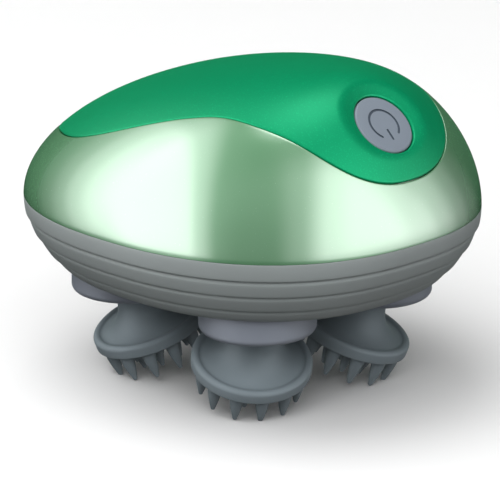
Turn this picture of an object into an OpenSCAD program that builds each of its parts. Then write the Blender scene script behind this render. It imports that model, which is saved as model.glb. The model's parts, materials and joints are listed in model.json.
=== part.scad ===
// Electric scalp massager: egg-shaped hand-held body with four kneading claws.
// Frame: +X towards the blunt nose that carries the button, +Z up, Z = 0 at the
// bristle tips, origin below the middle of the body. Lengths in millimetres.

/* [Body] */
// Length of the body along X, at the seam
body_length = 124; // [120:1:130]
// Width of the body along Y, at the seam
body_width = 112; // [109:1:118]
// Squareness of the seam oval, where 2 is an ellipse
seam_power = 2.33; // [2.25:0.01:2.45]
// Height of the dome above the seam
dome_height = 41.3; // [40:0.1:46]
// Fullness of the dome's profile, lower is fuller
dome_power = 0.54; // [0.5:0.01:0.56]
// How far the crown of the dome leans towards the nose
crown_lean = 32.8; // [30:0.1:35]
// Wall of the upper shell
shell_wall = 2.4; // [2.2:0.1:2.8]
// Depth of the base bowl from the seam to its flat bottom
bowl_depth = 19.2; // [18.8:0.1:21]
// Share of its width that the bowl loses at the bottom
bowl_taper = 0.148; // [0.13:0.002:0.155]
// Depth of each contour step around the base
step_depth = 0.5; // [0.3:0.05:0.6]
// Thickness of the base wall below the rim
base_wall = 3.4; // [3.2:0.1:3.8]
// Thickness of the base floor
base_floor = 2.4; // [2.2:0.1:3]

/* [Inlay] */
// Thickness of the coloured inlay panel
inlay_thickness = 1.6; // [1.4:0.1:1.8]
// Gap around the edge of the inlay
inlay_gap = 0.15; // [0.1:0.05:0.25]
// Reach of the inlay at the nose and the tail, as a share of the dome
inlay_reach = 0.9; // [0.88:0.005:0.91]
// Drawing in of the inlay at its waist, as a share of the dome
inlay_waist = 0.305; // [0.26:0.005:0.33]

/* [Button] */
// Diameter of the power button
button_diameter = 17.4; // [16.4:0.2:18]
// Lean of the button's axis from vertical, towards the nose
button_tilt = 44; // [42:1:46]
// Distance from the middle of the body to the centre of the thumb dish
dish_place = 50.9; // [49.5:0.1:51.5]
// Depth of the thumb dish below the dome
dish_depth = 3; // [2.6:0.1:3.4]
// Radius of the sphere that hollows the dish
dish_radius = 60; // [50:1:80]
// Travel of the button
button_travel = 0.5; // [0.3:0.05:0.6]
// Width of the lines in the power sign
sign_line = 0.7; // [0.5:0.1:1]
// Depth of the power sign
sign_depth = 0.3; // [0.2:0.05:0.4]

/* [Claws] */
// Distance between turntable axes along X
claw_pitch_x = 50; // [49:0.5:51]
// Distance between turntable axes along Y
claw_pitch_y = 44.6; // [44:0.2:45.4]
// Height of the underside of the turntables above the bristle tips
turntable_clearance = 24.7; // [23.6:0.1:26]
// Height of each turntable that shows below the base
turntable_drop = 7.6; // [7.2:0.1:8]
// Diameter of each turntable
turntable_diameter = 31.4; // [30.6:0.2:32]
// Lean of each claw's axis
claw_tilt = 21; // [19:0.5:22]
// Diameter of the silicone claw at its rim
claw_diameter = 32.6; // [31.4:0.2:33.4]
// Diameter of the claw's neck
neck_diameter = 12.4; // [12:0.2:13.4]
// Thickness of the rim
rim_thickness = 3.6; // [3.2:0.1:3.8]
// Length of the bristles
bristle_length = 8.5; // [8:0.1:9]
// Diameter of a bristle at its root
bristle_root = 3.9; // [3.6:0.1:4.3]
// Diameter of a bristle at its tip
bristle_tip = 1.3; // [1.2:0.1:1.6]
// Number of bristles in the outer ring
outer_bristles = 12; // [11:1:13]
// Number of bristles in the inner ring
inner_bristles = 8; // [6:1:8]

/* [Gears] */
// Teeth of the sun gear
sun_teeth = 31; // [31:1:31]
// Teeth of each output gear
output_teeth = 36; // [36:1:36]
// Module of the middle gear pair
middle_module = 0.8; // [0.78:0.01:0.81]
// Teeth of the middle wheel
middle_teeth = 42; // [42:1:42]
// Module of the motor gear pair
motor_module = 0.6; // [0.59:0.01:0.61]
// Teeth of the reduction wheel
reduction_teeth = 62; // [62:1:62]
// Teeth of both pinions
pinion_teeth = 12; // [12:1:12]
// Thickness of the output gears
output_gear_width = 5; // [4.6:0.1:5.2]
// Diameter of the output shafts
output_shaft_diameter = 6; // [5.6:0.1:6.2]
// Diameter of the sun wheel's axle
sun_axle_diameter = 3; // [2.6:0.1:3.2]
// Diameter of the reduction gear's axle
reduction_axle_diameter = 2.5; // [2.2:0.1:2.8]

/* [Drive and electrics] */
// Diameter of the motor can
motor_diameter = 24.4; // [23:0.1:25]
// Length of the motor can
motor_length = 24; // [22:0.5:25]
// Diameter of the motor shaft
motor_shaft_diameter = 2; // [1.8:0.1:2.2]
// Diameter of the battery cell
battery_diameter = 18.3; // [17.8:0.1:18.6]
// Length of the battery cell
battery_length = 50; // [48:0.5:52]
// Thickness of the circuit boards
board_thickness = 1.2; // [1:0.1:1.4]
// Width of the charging socket
socket_width = 8.94; // [8.9:0.02:9]
// Height of the charging socket
socket_height = 3.2; // [3.1:0.05:3.3]
// Diameter of the case screws
case_screw_diameter = 2.4; // [2.2:0.1:2.6]
// Diameter of the chassis screws
chassis_screw_diameter = 2.1; // [2:0.1:2.3]

/* [Fits] */
// Running clearance between a shaft and its bearing, on the radius
running_fit = 0.04; // [0.02:0.01:0.08]
// Clearance of a pressed or glued piece, on the radius
press_fit = 0.02; // [0.01:0.01:0.03]
// Gap between a moving piece and the opening it shows through
moving_gap = 0.4; // [0.3:0.05:0.5]

/* [Hidden] */
$fn = 48;

// Heights, from the bristle tips up
bottom_z = turntable_clearance + turntable_drop;
seam_z = bottom_z + bowl_depth;
floor_z = bottom_z + base_floor;
half_length = body_length / 2;
half_width = body_width / 2;
columns = 64;
ring_angles = [for (i = [0 : columns - 1]) 360 * i / columns];
// Waves around the body that shape the inlay's waist, the first one even all round
waist_waves = [0.384, 0.262, -0.403, -0.264, 0.018, 0.018, -0.03, -0.015, 0.025];

// Turntables in the order nose left, nose right, tail left, tail right:
// [side along X, side along Y, turn of the claw's lean away from the middle]
turntables = [[1, 1, -15], [1, -1, 12], [-1, 1, 40], [-1, -1, 27]];
axle_pitch = norm([claw_pitch_x, claw_pitch_y]) / 2;
gear_module = 2 * axle_pitch / (sun_teeth + output_teeth);
gear_backlash = 0.1;

// Gear levels
well_depth = 1.5;
pad_z = floor_z + 1.3;
output_gear_z = pad_z + 1;
output_gear_top = output_gear_z + output_gear_width;
middle_z = output_gear_top + 1.5;
middle_width = 3.5;
reduction_z = middle_z + middle_width + 1.5;
reduction_width = 3;
chassis_z = reduction_z + reduction_width + 1;
chassis_thickness = 2;
chassis_top = chassis_z + chassis_thickness;

// Axes of the reduction gear and the motor
reduction_y = -middle_module * (middle_teeth + pinion_teeth) / 2;
motor_reach = motor_module * (reduction_teeth + pinion_teeth) / 2;
motor_heading = 43;
motor_x = motor_reach * cos(motor_heading);
motor_y = reduction_y + motor_reach * sin(motor_heading);

// Output shafts and what carries them
shaft_r = output_shaft_diameter / 2;
bush_r = shaft_r + 1.6;
boss_r = bush_r + 2.4;
boss_bottom = bottom_z - 1.3;
shaft_bottom = turntable_clearance + 1.6;
turntable_r = turntable_diameter / 2;
turntable_plate = 3;
turntable_wall = 1.9;
turntable_top = bottom_z + 0.9;
hub_r = shaft_r + 3.5;

// Claws: lengths along the claw's axis are measured down from its pivot
pivot_rise = 5.2;
pivot_z = turntable_clearance + pivot_rise;
tip_cut = 0.36;
outer_ring_r = claw_diameter / 2 - 3.1;
inner_ring_r = outer_ring_r * 0.55;
tip_reach = (pivot_z + tip_cut - outer_ring_r * sin(claw_tilt)) / cos(claw_tilt);
underside_reach = tip_reach - bristle_length;
pin_r = 3.2;
pin_reach = underside_reach - 2.9;
core_r = pin_r + 1.2;
core_plate_r = 9.2;
core_plate = 1.2;
rim_round = 1.2;
rim_foot = 0.4;

// Screws and posts: [x, y] places
case_places = [[half_length - 16, 0], [16 - half_length, 0],
    [-12, half_width - 14], [-12, 14 - half_width]];
chassis_places = [[34, 0], [-34, 0], [12, half_width - 14], [12, 14 - half_width]];
post_r = 3.2;
case_post_r = 3.4;
case_screw_r = case_screw_diameter / 2;
chassis_screw_r = chassis_screw_diameter / 2;
case_head_r = case_screw_r + 1.4;
case_head_h = 2;
case_head_z = bottom_z + 2;
case_boss_h = 9.5;
chassis_head_r = chassis_screw_r + 1.1;
chassis_head_h = 1.5;

// Motor
motor_r = motor_diameter / 2;
motor_front = 2;
motor_wall = 1;
motor_boss_r = 3;
motor_shaft_r = motor_shaft_diameter / 2;
motor_top = chassis_top + motor_length;
motor_cap_h = 1.6;
motor_screw_r = 1;
motor_screw_reach = 8;
motor_pinion_z = reduction_z - 0.3;
armature_gap = 5;
armature_start = 3;
armature_room = 9;

// Battery
battery_inset = 34;
battery_x = battery_inset - half_length;
battery_r = battery_diameter / 2;
battery_z = chassis_top + 1.2 + battery_r;
saddle_places = [-16, 16];
strap_width = 8;
strap_thickness = 0.9;

// Button assembly, along the button's own axis
button_r = button_diameter / 2;
button_face = 0.6;
flange_r = button_r + 1.4;
flange_top = -2.45;
flange_bottom = flange_top - 0.95;
pad_bottom = -2.4;
pad_r = button_r + 4;
skirt_r = flange_r + 0.7;
skirt_wall = 1.6;
skirt_bottom = -8.3;
switch_size = 6;
plunger_r = 1.7;
plunger_top = flange_bottom - 0.45 - button_travel - 0.05;
stem_bottom = plunger_top + button_travel + 0.05;
board_top = skirt_bottom;
board_length = 24;
board_width = 34;
board_boss_place = 14.4;
board_boss_r = 2.2;
board_screw_r = 0.9;
board_screw_reach = 4.2;

// Charging port in the tail
port_z = seam_z - 7.1;
port_board_x = 6.3 - half_length;
port_board_length = 6.2;
port_post_z = seam_z - 0.74 * bowl_depth;
port_face = 2.6 - half_length;
cover_width = 14;
cover_height = 6.4;
cover_thickness = 1.1;

// Signed power, for rounded ovals
function signed_power(v, e) = sign(v) * pow(abs(v), e);

// Point of an oval with half sizes a and b and squareness n, at angle t
function oval(a, b, n, t) = [a * signed_power(cos(t), 2 / n), b * signed_power(sin(t), 2 / n)];

// Point of the dome: s is 0 at the crown and 1 at the seam, d is the depth below the surface
function dome_point(s, t, d) =
    let (o = oval((half_length - d) * s, (half_width - d) * s, 2 + (seam_power - 2) * s * s, t))
    [crown_lean * (1 - s) + o.x, o.y, seam_z + (dome_height - d) * pow(1 - s * s, dome_power)];

// Edge of the inlay, as the dome's s at angle t: full at nose and tail, drawn in at the waist
function inlay_edge(t) =
    inlay_reach - inlay_waist * waist_waves * [for (k = [0 : len(waist_waves) - 1]) cos(k * t)];

// Width of the oval at the bowl's level q, which is 0 at the seam and 1 at the bottom
function bowl_share(q) = 1 - bowl_taper * pow(q, 2.1);

// Ring of the bowl at level q, d inside its widest outline
function bowl_ring(q, d) = [for (t = ring_angles)
    let (o = oval(half_length * bowl_share(q) - d, half_width * bowl_share(q) - d, seam_power, t))
    [o.x, o.y, seam_z - bowl_depth * q]];

// Ring of the dome between the inlay's edge (k = 0) and the seam (k = 1)
function shell_ring(k, d) = [for (t = ring_angles)
    let (e = inlay_edge(t)) dome_point(e + (1 - e) * k, t, d)];

// Ring of the dome under the inlay, a share k of the way from the crown to a margin inside its edge
function inlay_ring(k, margin, d) = [for (t = ring_angles)
    dome_point((inlay_edge(t) - margin) * k, t, d)];

// Skin over a stack of rings, closed by flat ends, or into a loop
module skin(rings, loop = false) {
    count = len(rings);
    points = [for (ring = rings) each ring];
    sides = [for (i = [0 : count - (loop ? 1 : 2)], j = [0 : columns - 1])
        let (
            a = i * columns + j,
            b = i * columns + (j + 1) % columns,
            c = ((i + 1) % count) * columns + (j + 1) % columns,
            d = ((i + 1) % count) * columns + j
        ) each [[a, c, b], [a, d, c]]];
    first = [for (j = [0 : columns - 1]) j];
    last = [for (j = [columns - 1 : -1 : 0]) (count - 1) * columns + j];
    polyhedron(points, loop ? sides : concat(sides, [first, last]), convexity = 6);
}

// Solid dome, its surface d below the outside
module dome_solid(d) {
    skin(concat(
        [[for (t = ring_angles) dome_point(1, t, d)]],
        [for (s = [0.98, 0.93, 0.86, 0.77, 0.66, 0.54, 0.42, 0.3, 0.18, 0.08, 0.03])
            [for (t = ring_angles) dome_point(s, t, d)]]));
}

// Frame of the button: z along its axis, x downhill, origin at the bottom of the dish
dish_share = (dish_place - crown_lean) / (half_length - crown_lean);
dish_top = dome_point(dish_share, 0, 0);
module button_frame() {
    translate([dish_top.x - dish_depth * sin(button_tilt), 0, dish_top.z - dish_depth * cos(button_tilt)])
        rotate([0, button_tilt, 0]) children();
}

// Frame of turntable i: z up its axis, x the way its claw leans
module turntable_frame(i) {
    spot = turntables[i];
    inward = atan2(-spot[1] * claw_pitch_y, -spot[0] * claw_pitch_x);
    translate([spot[0] * claw_pitch_x / 2, spot[1] * claw_pitch_y / 2, 0])
        rotate([0, 0, inward + spot[2]]) children();
}

// Frame of the claw on its turntable: z up the claw's axis, origin at its pivot
module claw_frame() {
    translate([0, 0, pivot_z]) rotate([0, -claw_tilt, 0]) children();
}

// Cylinder with its low end at height z
module rod(r, z, h) {
    translate([0, 0, z]) cylinder(r = r, h = h);
}

// Box centred on the z axis, with its low face at height z
module block(x, y, z, h) {
    translate([-x / 2, -y / 2, z]) cube([x, y, h]);
}

// Flat bar with round ends along Y, standing on height z
module round_bar(width, height, z, h) {
    translate([0, 0, z]) linear_extrude(h) union() {
        square([height, width - height], center = true);
        for (side = [-1, 1]) translate([0, side * (width - height) / 2]) circle(d = height);
    }
}

// Half thickness of a tooth, as an angle at radius r
function flank_angle(teeth, m, r) =
    let (
        pitch_r = teeth * m / 2,
        base_r = pitch_r * cos(20),
        roll = function(x) let (v = sqrt(max(0, pow(x / base_r, 2) - 1))) v * 180 / PI - atan(v)
    ) 90 / teeth * (1 - gear_backlash) + roll(pitch_r) - roll(max(r, base_r));

// Outline of an involute gear with a tooth on the x axis
function gear_outline(teeth, m, addendum) =
    let (
        pitch_r = teeth * m / 2,
        base_r = pitch_r * cos(20),
        root_r = pitch_r - 1.25 * m,
        tip_r = pitch_r + addendum * m,
        low_r = max(base_r, root_r + 0.05 * m),
        radii = [root_r, low_r, pitch_r, tip_r]
    ) [for (i = [0 : teeth - 1], side = [-1, 1], k = [0 : 3])
        let (
            r = radii[side < 0 ? k : 3 - k],
            a = 360 * i / teeth + side * flank_angle(teeth, m, r)
        ) r * [cos(a), sin(a)]];

// Gear of the given teeth and module, its low face at height z
module gear(teeth, m, z, h, addendum = 1) {
    translate([0, 0, z]) linear_extrude(h) polygon(gear_outline(teeth, m, addendum));
}

// Turn that puts a gear in mesh with another whose tooth lies at lead degrees: heading is the
// direction from the other gear's axis to this one's
function mesh_turn(other_teeth, lead, heading, teeth) =
    let (phase = (heading - lead) * other_teeth / 360)
    heading + 180 - (0.5 - (phase - floor(phase))) * 360 / teeth;

// ---- Housing ----

// Share of the dome that the inlay's ledge reaches inside the inlay's edge
ledge_reach = 0.05;
ledge_thickness = 1.2;
ledge_depth = inlay_thickness + 0.15;

// Metallic shell: a band from the seam up to the inlay, with a ledge that carries the inlay
module shell_band() {
    outer = [for (k = [1, 0.93, 0.82, 0.68, 0.52, 0.34, 0.16, 0]) shell_ring(k, 0)];
    ledge = [
        shell_ring(0, ledge_depth),
        [for (t = ring_angles) dome_point(inlay_edge(t) - ledge_reach, t, ledge_depth)],
        [for (t = ring_angles) dome_point(inlay_edge(t) - ledge_reach, t, ledge_depth + ledge_thickness)]
    ];
    inner = [for (k = [0.1, 0.4, 0.7, 0.92, 1]) shell_ring(k, shell_wall)];
    skin(concat(outer, ledge, inner), loop = true);
}

// Screw boss that hangs from a rib on the wall of the upper shell
module case_boss(spot) {
    along_x = spot.y == 0;
    lean = !along_x ? 1.6 : spot.x < 0 ? 2.1 : 0.3;
    reach = (along_x ? half_length : half_width) - shell_wall + 0.9 - lean;
    rib = reach - max(abs(spot.x) * (along_x ? 1 : 0), abs(spot.y));
    translate([spot.x, spot.y, seam_z]) {
        cylinder(r = case_post_r, h = case_boss_h);
        rotate([0, 0, along_x ? (spot.x > 0 ? 0 : 180) : (spot.y > 0 ? 90 : -90)])
            translate([0, -0.9, 1]) cube([rib, 1.8, case_boss_h - 1.5]);
    }
}

module top_shell() {
    color("darkseagreen") difference() {
        union() {
            shell_band();
            for (spot = case_places) case_boss(spot);
        }
        for (spot = case_places) translate(spot)
            rod(case_screw_r + press_fit, seam_z - 1, case_boss_h);
        button_frame() rod(pad_r + 0.1, pad_bottom - 3, 15);
    }
}

// Inlay panel with its button well, skirt and board bosses
module top_inlay() {
    margin = inlay_gap / half_length;
    inner = concat(
        [for (k = [0.04, 0.25, 0.5, 0.75]) inlay_ring(k, margin, inlay_thickness)],
        [[for (t = ring_angles) dome_point(inlay_edge(t) - ledge_reach, t, inlay_thickness)]],
        [inlay_ring(1, margin, inlay_thickness)]);
    outer = [for (k = [1, 0.94, 0.86, 0.76, 0.64, 0.52, 0.4, 0.28, 0.16, 0.04])
        inlay_ring(k, margin, 0)];
    color("seagreen") difference() {
        union() {
            skin(concat(inner, outer));
            intersection() {
                dome_solid(0.1);
                button_frame() union() {
                    rod(pad_r, pad_bottom, 9);
                    difference() {
                        rod(skirt_r + skirt_wall, skirt_bottom, pad_bottom - skirt_bottom + 0.5);
                        rod(skirt_r, skirt_bottom - 1, pad_bottom - skirt_bottom + 1);
                    }
                    for (side = [-1, 1]) translate([0, side * board_boss_place, 0])
                        rod(board_boss_r, skirt_bottom, 12);
                }
            }
        }
        button_frame() {
            translate([0, 0, dish_radius]) sphere(r = dish_radius, $fn = 96);
            rod(button_r + 0.25, pad_bottom - 1, 12);
            for (side = [-1, 1]) translate([0, side * board_boss_place, 0])
                rod(board_screw_r + press_fit, skirt_bottom - 1, 5);
        }
    }
}

bands = 4;
band_share = 0.26;
rebate_depth = 0.6;
lip_depth = 1.1;
rebate_share = rebate_depth / bowl_depth;
floor_share = (bowl_depth - base_floor) / bowl_depth;

// Bowl of the base, stepped outside, with a rebate round its rim for the gasket
module bowl() {
    outer = [for (band = [bands - 1 : -1 : 0])
        let (
            top = band * band_share,
            low = band == bands - 1 ? 0.94 : top + band_share,
            d = band * step_depth
        ) each [for (q = [low, (low + top) / 2, top]) bowl_ring(q, d)]];
    bottom_d = (bands - 1) * step_depth;
    skin(concat(
        [bowl_ring(1, bottom_d + 1.6), bowl_ring(0.985, bottom_d + 0.5)],
        outer,
        [bowl_ring(0, lip_depth), bowl_ring(rebate_share, lip_depth)],
        [bowl_ring(rebate_share, shell_wall + 0.1), bowl_ring(0.1, base_wall)],
        [for (q = [0.35, 0.6, 0.8]) bowl_ring(q, base_wall)],
        [bowl_ring(floor_share, base_wall + 1.5)]));
}

module base_shell() {
    color("gray") difference() {
        union() {
            bowl();
            for (i = [0 : 3]) turntable_frame(i) {
                rod(turntable_r + 1.6, floor_z - 0.5, pad_z - floor_z + 0.5);
                rod(boss_r, boss_bottom, floor_z - boss_bottom);
            }
            for (spot = chassis_places) translate(spot) rod(post_r, floor_z - 1, chassis_z - floor_z + 1);
            for (spot = case_places) translate(spot) rod(case_post_r, floor_z - 1, seam_z - floor_z + 1);
            rod(4, floor_z - 0.5, 2);
            translate([0, reduction_y]) rod(3.2, floor_z - 0.5, middle_z - 1.1 - floor_z);
            for (side = [-1, 1]) translate([port_board_x + 2.5, side * 6.4])
                rod(1.8, port_post_z, port_z - socket_height / 2 - board_thickness - port_post_z);
        }
        for (i = [0 : 3]) turntable_frame(i) difference() {
            rod(turntable_r + moving_gap, bottom_z - 1, well_depth + 1);
            rod(boss_r, bottom_z - 2, well_depth + 4);
        }
        for (i = [0 : 3]) turntable_frame(i) rod(bush_r + press_fit, boss_bottom - 1, 12);
        rod(sun_axle_diameter / 2 + press_fit, bottom_z + 1.2, 5);
        translate([0, reduction_y])
            rod(reduction_axle_diameter / 2 + press_fit, floor_z, middle_z - floor_z);
        for (spot = chassis_places) translate(spot)
            rod(chassis_screw_r + press_fit, chassis_z - 8, 9);
        for (spot = case_places) translate(spot) {
            rod(case_screw_r + 0.15, bottom_z - 1, bowl_depth + 2);
            rod(case_head_r + 0.2, bottom_z - 1, case_head_z + case_head_h - bottom_z + 1);
        }
        translate([port_face, 0, port_z]) rotate([0, -90, 0])
            round_bar(cover_width + 0.4, cover_height + 0.4, 0, 5);
        translate([port_face, 0, port_z]) rotate([0, 90, 0])
            round_bar(socket_width + 0.4, socket_height + 0.4, -1, 6);
    }
}

module seam_gasket() {
    clear = 0.08;
    color("dimgray") translate([0, 0, seam_z - rebate_depth]) linear_extrude(rebate_depth) difference() {
        polygon([for (t = ring_angles)
            oval(half_length - lip_depth - clear, half_width - lip_depth - clear, seam_power, t)]);
        polygon([for (t = ring_angles)
            oval(half_length - shell_wall, half_width - shell_wall, seam_power, t)]);
    }
}

// ---- Button and its board ----

// Power sign: an open ring with a bar in its gap, on the downhill side
module power_sign(r) {
    difference() {
        circle(r = r + sign_line / 2);
        circle(r = r - sign_line / 2);
        polygon([[0, 0], 2 * r * [1, 0.85], 2 * r * [1, -0.85]]);
    }
    translate([r * 0.72, 0]) square([r * 0.78, sign_line], center = true);
}

module power_button() {
    round_r = 0.6;
    color("lightslategray") button_frame() difference() {
        union() {
            rotate_extrude($fn = 72) polygon(concat(
                [[0, flange_top - 0.1], [button_r, flange_top - 0.1]],
                [for (a = [0 : 22.5 : 90])
                    [button_r - round_r + round_r * cos(a), button_face - round_r + round_r * sin(a)]],
                [[0, button_face]]));
            rod(flange_r, flange_bottom, flange_top - flange_bottom);
            rod(plunger_r, stem_bottom, flange_bottom - stem_bottom + 0.1);
        }
        translate([0, 0, button_face - sign_depth]) linear_extrude(1) power_sign(button_r * 0.52);
    }
}

// Silicone ring under the button that keeps water out
module button_boot() {
    color("dimgray") button_frame() difference() {
        rod(skirt_r - press_fit, plunger_top - 1.4, 0.8);
        rod(plunger_r + 0.6, plunger_top - 2, 2);
    }
}

module power_switch() {
    color("black") button_frame() {
        block(switch_size, switch_size, board_top, 2.3);
        rod(plunger_r, board_top + 2.2, plunger_top - board_top - 2.2);
    }
}

module main_board() {
    color("darkgreen") button_frame() {
        difference() {
            block(board_length, board_width, board_top - board_thickness, board_thickness);
            for (side = [-1, 1]) translate([0, side * board_boss_place, 0])
                rod(board_screw_r + 0.2, board_top - board_thickness - 1, board_thickness + 2);
        }
        translate([-7, 0, 0]) block(5, 5, board_top - board_thickness - 1, 1);
        translate([7, 5, 0]) block(4, 6, board_top - board_thickness - 1.6, 1.6);
    }
}

module board_screws() {
    color("silver") button_frame() for (side = [-1, 1]) translate([0, side * board_boss_place, 0]) {
        rod(board_screw_r, board_top - board_thickness - 0.5, board_screw_reach + board_thickness);
        rod(board_screw_r + 0.8, board_top - board_thickness - 1, 1);
    }
}

// ---- Chassis and screws ----

module gear_chassis() {
    saddle_h = battery_z - chassis_top;
    color("whitesmoke") difference() {
        union() {
            translate([0, 0, chassis_z]) linear_extrude(chassis_thickness) hull() {
                for (side = [-1, 1]) {
                    translate([battery_x - 9, side * 25]) circle(r = 5);
                    translate([12, side * (half_width - 14)]) circle(r = 5);
                    translate([34, side * 8]) circle(r = 6);
                }
            }
            for (y = saddle_places) translate([battery_x, y, chassis_top - 0.5])
                block(battery_diameter + 2, 3, 0, saddle_h + 0.5);
        }
        translate([battery_x, 0, battery_z]) rotate([90, 0, 0])
            cylinder(r = battery_r + 0.1, h = battery_length, center = true);
        for (spot = case_places) translate(spot) rod(case_post_r + 1, chassis_z - 1, chassis_thickness + 2);
        for (spot = chassis_places) translate(spot)
            rod(chassis_screw_r + 0.15, chassis_z - 1, chassis_thickness + 2);
        rod(sun_axle_diameter / 2 + press_fit, chassis_z - 1, chassis_thickness + 2);
        translate([0, reduction_y])
            rod(reduction_axle_diameter / 2 + press_fit, chassis_z - 1, chassis_thickness + 2);
        translate([motor_x, motor_y]) {
            rod(motor_boss_r + press_fit, chassis_z - 1, chassis_thickness + 2);
            for (side = [-1, 1]) translate([side * motor_screw_reach, 0]) {
                rod(motor_screw_r + 0.15, chassis_z - 1, chassis_thickness + 2);
                rod(motor_screw_r + 0.9, chassis_z - 1, 1.9);
            }
        }
    }
}

module chassis_screws() {
    color("silver") for (spot = chassis_places) translate(spot) {
        rod(chassis_screw_r, chassis_z - 7.5, 7.6 + chassis_thickness);
        rod(chassis_head_r, chassis_top, chassis_head_h);
    }
}

module case_screws() {
    color("silver") for (spot = case_places) translate(spot) {
        rod(case_screw_r, case_head_z + 0.5, seam_z + case_boss_h - 2.5 - case_head_z);
        rod(case_head_r, case_head_z, case_head_h);
    }
}

// ---- Motor ----

module at_motor() {
    translate([motor_x, motor_y]) children();
}

module motor_can() {
    color("silver") at_motor() difference() {
        union() {
            rod(motor_r, chassis_top, motor_length);
            rod(motor_boss_r, chassis_z, chassis_thickness + 0.5);
        }
        rod(motor_r - motor_wall, chassis_top + motor_front, motor_length);
        rod(motor_shaft_r + running_fit, chassis_z - 1, 8);
        for (side = [-1, 1]) translate([side * motor_screw_reach, 0])
            rod(motor_screw_r + press_fit, chassis_top - 1, motor_front + 2);
    }
}

module motor_end_cap() {
    color("white") at_motor() difference() {
        union() {
            rod(motor_r - motor_wall - press_fit, motor_top - 1.5, 1.5);
            rod(motor_r - 0.4, motor_top, motor_cap_h);
        }
        rod(motor_shaft_r + running_fit, motor_top - 3, motor_cap_h + 4);
    }
}

module motor_screws() {
    color("silver") at_motor() for (side = [-1, 1]) translate([side * motor_screw_reach, 0]) {
        rod(motor_screw_r, chassis_z + 0.7, chassis_thickness + motor_front - 0.9);
        rod(motor_screw_r + 0.8, chassis_z - 0.1, 0.9);
    }
}

// Rotor: three-pole armature, commutator and shaft
module motor_armature() {
    armature_r = motor_r - armature_gap;
    armature_z = chassis_top + motor_front + armature_start;
    armature_h = motor_length - motor_front - armature_room;
    color("darkorange") at_motor() {
        difference() {
            rod(armature_r, armature_z, armature_h);
            for (turn = [0 : 120 : 240]) rotate([0, 0, turn])
                translate([armature_r, 0, armature_z - 1]) cylinder(r = 2.4, h = armature_h + 2);
        }
        rod(2.2, armature_z + armature_h - 0.1, 3);
        rod(motor_shaft_r, motor_pinion_z, motor_top + motor_cap_h - motor_pinion_z - 0.3);
    }
}

// Lead of the reduction wheel's teeth, from the middle pair
reduction_lead = mesh_turn(middle_teeth, 0, -90, pinion_teeth);

module motor_pinion() {
    color("goldenrod") at_motor() difference() {
        rotate([0, 0, mesh_turn(reduction_teeth, reduction_lead, motor_heading, pinion_teeth)])
            gear(pinion_teeth, motor_module, motor_pinion_z, reduction_width + 0.6);
        rod(motor_shaft_r + press_fit, motor_pinion_z - 1, reduction_width + 3);
    }
}

// ---- Gear train ----

module reduction_gear() {
    hub = reduction_axle_diameter / 2 + 1.2;
    color("ivory") translate([0, reduction_y]) difference() {
        rotate([0, 0, reduction_lead]) union() {
            gear(reduction_teeth, motor_module, reduction_z, reduction_width, 0.85);
            gear(pinion_teeth, middle_module, middle_z - 0.5, middle_width + 1);
            rod(hub + 1, middle_z + middle_width + 0.4, reduction_z - middle_z - middle_width);
            rod(hub, reduction_z, chassis_z - reduction_z - 0.3);
        }
        rod(reduction_axle_diameter / 2 + running_fit, middle_z - 2, 14);
        difference() {
            rod(15.4, reduction_z - 1, 1.8);
            rod(hub + 3, reduction_z - 2, 4);
        }
    }
}

module reduction_axle() {
    color("silver") translate([0, reduction_y])
        rod(reduction_axle_diameter / 2, floor_z, chassis_top - floor_z);
}

// Middle wheel and sun gear in one piece
module sun_wheel() {
    color("ivory") difference() {
        union() {
            gear(sun_teeth, gear_module, output_gear_z - 0.4, output_gear_width + 0.8, 0.9);
            rod(8, output_gear_top, middle_z - output_gear_top + 0.1);
            gear(middle_teeth, middle_module, middle_z, middle_width, 0.85);
            rod(4, middle_z, reduction_z - middle_z - 0.3);
        }
        rod(sun_axle_diameter / 2 + running_fit, output_gear_z - 2, 16);
    }
}

module sun_axle() {
    color("silver") rod(sun_axle_diameter / 2, bottom_z + 1.2, chassis_top - bottom_z - 1.2);
}

// ---- Battery and charging port ----

module battery_cell() {
    color("royalblue") translate([battery_x, 0, battery_z]) rotate([90, 0, 0]) {
        cylinder(r = battery_r, h = battery_length, center = true);
        cylinder(r = 2.8, h = battery_length + 1.6, center = true);
    }
}

// Band over the battery, standing on the chassis
module battery_strap() {
    outer = battery_r + strap_thickness;
    color("dimgray") translate([battery_x, 0, battery_z]) difference() {
        union() {
            rotate([90, 0, 0]) cylinder(r = outer, h = strap_width, center = true);
            block(2 * outer, strap_width, chassis_top - battery_z, battery_z - chassis_top);
        }
        rotate([90, 0, 0]) cylinder(r = battery_r + 0.05, h = strap_width + 2, center = true);
        block(battery_diameter, strap_width + 2, chassis_top - battery_z - 1, battery_z - chassis_top + 1);
    }
}

module charge_board() {
    color("darkgreen")
        translate([port_board_x, -9, port_z - socket_height / 2 - board_thickness])
            cube([port_board_length, 18, board_thickness]);
}

socket_wall = 0.3;
socket_length = 7.3;
tongue_width = 6.6;
tongue_height = 0.7;

// Hollow socket with a tongue, its mouth towards the tail
module charge_socket() {
    color("silver") translate([port_face + 0.3, 0, port_z]) rotate([0, 90, 0]) {
        difference() {
            round_bar(socket_width, socket_height, 0, socket_length);
            round_bar(socket_width - 2 * socket_wall, socket_height - 2 * socket_wall,
                -1, socket_length - 0.2);
        }
        block(tongue_height, tongue_width, 0.8, socket_length - 1);
    }
}

// Silicone plug: a cover flush in its recess and a sleeve that fills the socket's mouth
module port_plug() {
    sleeve = 4.5;
    color("gray") translate([port_face, 0, port_z]) {
        rotate([0, -90, 0]) round_bar(cover_width, cover_height, 0.05, cover_thickness);
        rotate([0, 90, 0]) difference() {
            round_bar(socket_width - 2 * socket_wall - 0.2, socket_height - 2 * socket_wall - 0.2,
                -0.2, sleeve + 0.2);
            block(tongue_height + 0.3, tongue_width + 0.3, 0.6, sleeve + 1);
        }
    }
}

// ---- Turntables and claws ----

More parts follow.
